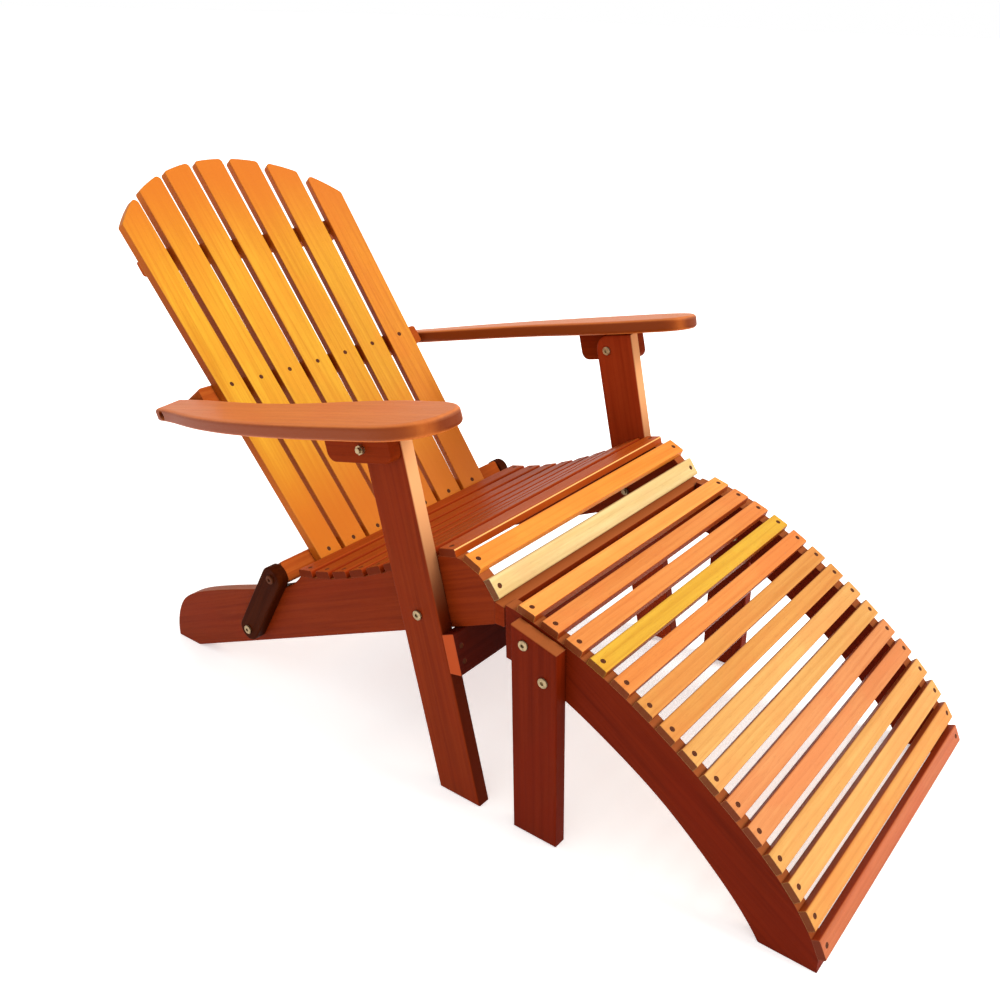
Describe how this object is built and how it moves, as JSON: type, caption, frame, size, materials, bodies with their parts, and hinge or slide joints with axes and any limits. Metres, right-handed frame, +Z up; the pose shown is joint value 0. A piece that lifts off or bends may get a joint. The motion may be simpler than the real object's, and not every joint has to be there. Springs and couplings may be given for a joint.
{
  "type": "folding adirondack chair with ottoman",
  "caption": "Reclined slatted wooden lounge chair with paddle arms, folding legs and back, and a curved slatted ottoman in front.",
  "frame": {"origin": "on the floor at the centre of the whole set's box", "axes": "+Z up, the sitter faces -Y towards the ottoman, +X is the sitter's left"},
  "size_m": [0.6924, 1.3865, 0.8027],
  "materials": {
    "back_wood": "oiled, satin",
    "rail_wood": "oiled, satin",
    "seat_wood": "oiled, satin",
    "ottoman_wood": "oiled, satin",
    "arm_wood": "oiled, satin",
    "frame_wood": "oiled, satin",
    "link_wood": "oiled, satin",
    "bolts": "zinc-yellow, satin",
    "screws": "yellow zinc, dulled"
  },
  "bodies": {
    "seat_frame": {"frame_pivot_bolts": "bolts", "seat_apron": "frame_wood", "seat_brace": "frame_wood", "seat_screws": "screws", "seat_slat_01": "seat_wood", "seat_slat_02": "seat_wood", "seat_slat_03": "seat_wood", "seat_slat_04": "seat_wood", "seat_slat_05": "seat_wood", "seat_slat_06": "seat_wood", "seat_slat_07": "seat_wood", "seat_slat_08": "seat_wood", "seat_slat_09": "seat_wood", "seat_slat_10": "seat_wood", "seat_slat_11": "seat_wood", "side_rail_left": "frame_wood", "side_rail_right": "frame_wood"},
    "front_legs": {"front_leg_left": "frame_wood", "front_leg_right": "frame_wood", "stop_bar": "frame_wood", "stop_bar_screws": "screws"},
    "arms": {"arm_bolts": "bolts", "arm_brackets": "link_wood", "arm_left": "arm_wood", "arm_right": "arm_wood"},
    "links": {"fold_links": "link_wood", "link_bolts": "bolts"},
    "back": {"back_rail_lower": "rail_wood", "back_rail_middle": "rail_wood", "back_rail_upper": "rail_wood", "back_screws": "screws", "back_slat_1": "back_wood", "back_slat_2": "back_wood", "back_slat_3": "back_wood", "back_slat_4": "back_wood", "back_slat_5": "back_wood", "back_slat_6": "back_wood", "back_slat_7": "back_wood"},
    "ottoman": {"ottoman_bolts": "bolts", "ottoman_brace": "frame_wood", "ottoman_legs": "frame_wood", "ottoman_screws": "screws", "ottoman_side_left": "frame_wood", "ottoman_side_right": "frame_wood", "ottoman_slat_01": "ottoman_wood", "ottoman_slat_02": "ottoman_wood", "ottoman_slat_03": "ottoman_wood", "ottoman_slat_04": "ottoman_wood", "ottoman_slat_05": "ottoman_wood", "ottoman_slat_06": "ottoman_wood", "ottoman_slat_07": "ottoman_wood", "ottoman_slat_08": "ottoman_wood", "ottoman_slat_09": "ottoman_wood", "ottoman_slat_10": "ottoman_wood", "ottoman_slat_11": "ottoman_wood", "ottoman_slat_12": "ottoman_wood", "ottoman_slat_13": "ottoman_wood", "ottoman_slat_14": "ottoman_wood", "ottoman_slat_15": "ottoman_wood"}
  },
  "joints": [
    {"name": "legs_fold", "type": "hinge", "parent": "seat_frame", "child": "front_legs", "pos_m": [0, -0.055, 0.291], "axis": [1, 0, 0], "range_deg": [0, 60]},
    {"name": "arms_fold", "type": "hinge", "parent": "front_legs", "child": "arms", "pos_m": [0, 0.009, 0.53], "axis": [1, 0, 0], "range_deg": [-42.4, 0]},
    {"name": "links_fold", "type": "hinge", "parent": "seat_frame", "child": "links", "pos_m": [0, 0.345, 0.113], "axis": [1, 0, 0], "range_deg": [-10.9, 0]},
    {"name": "back_fold", "type": "hinge", "parent": "links", "child": "back", "pos_m": [0, 0.2697, 0.2336], "axis": [1, 0, 0], "range_deg": [0, 65.9]},
    {"name": "ottoman_pull", "type": "slide", "parent": "seat_frame", "child": "ottoman", "axis": [0, -1, 0], "range_m": [0, 0.4]}
  ],
  "couplings": [
    {"joint": "arms_fold", "follows": "legs_fold", "ratio": -0.7052},
    {"joint": "links_fold", "follows": "legs_fold", "ratio": -0.1807},
    {"joint": "back_fold", "follows": "legs_fold", "ratio": 1.098}
  ]
}
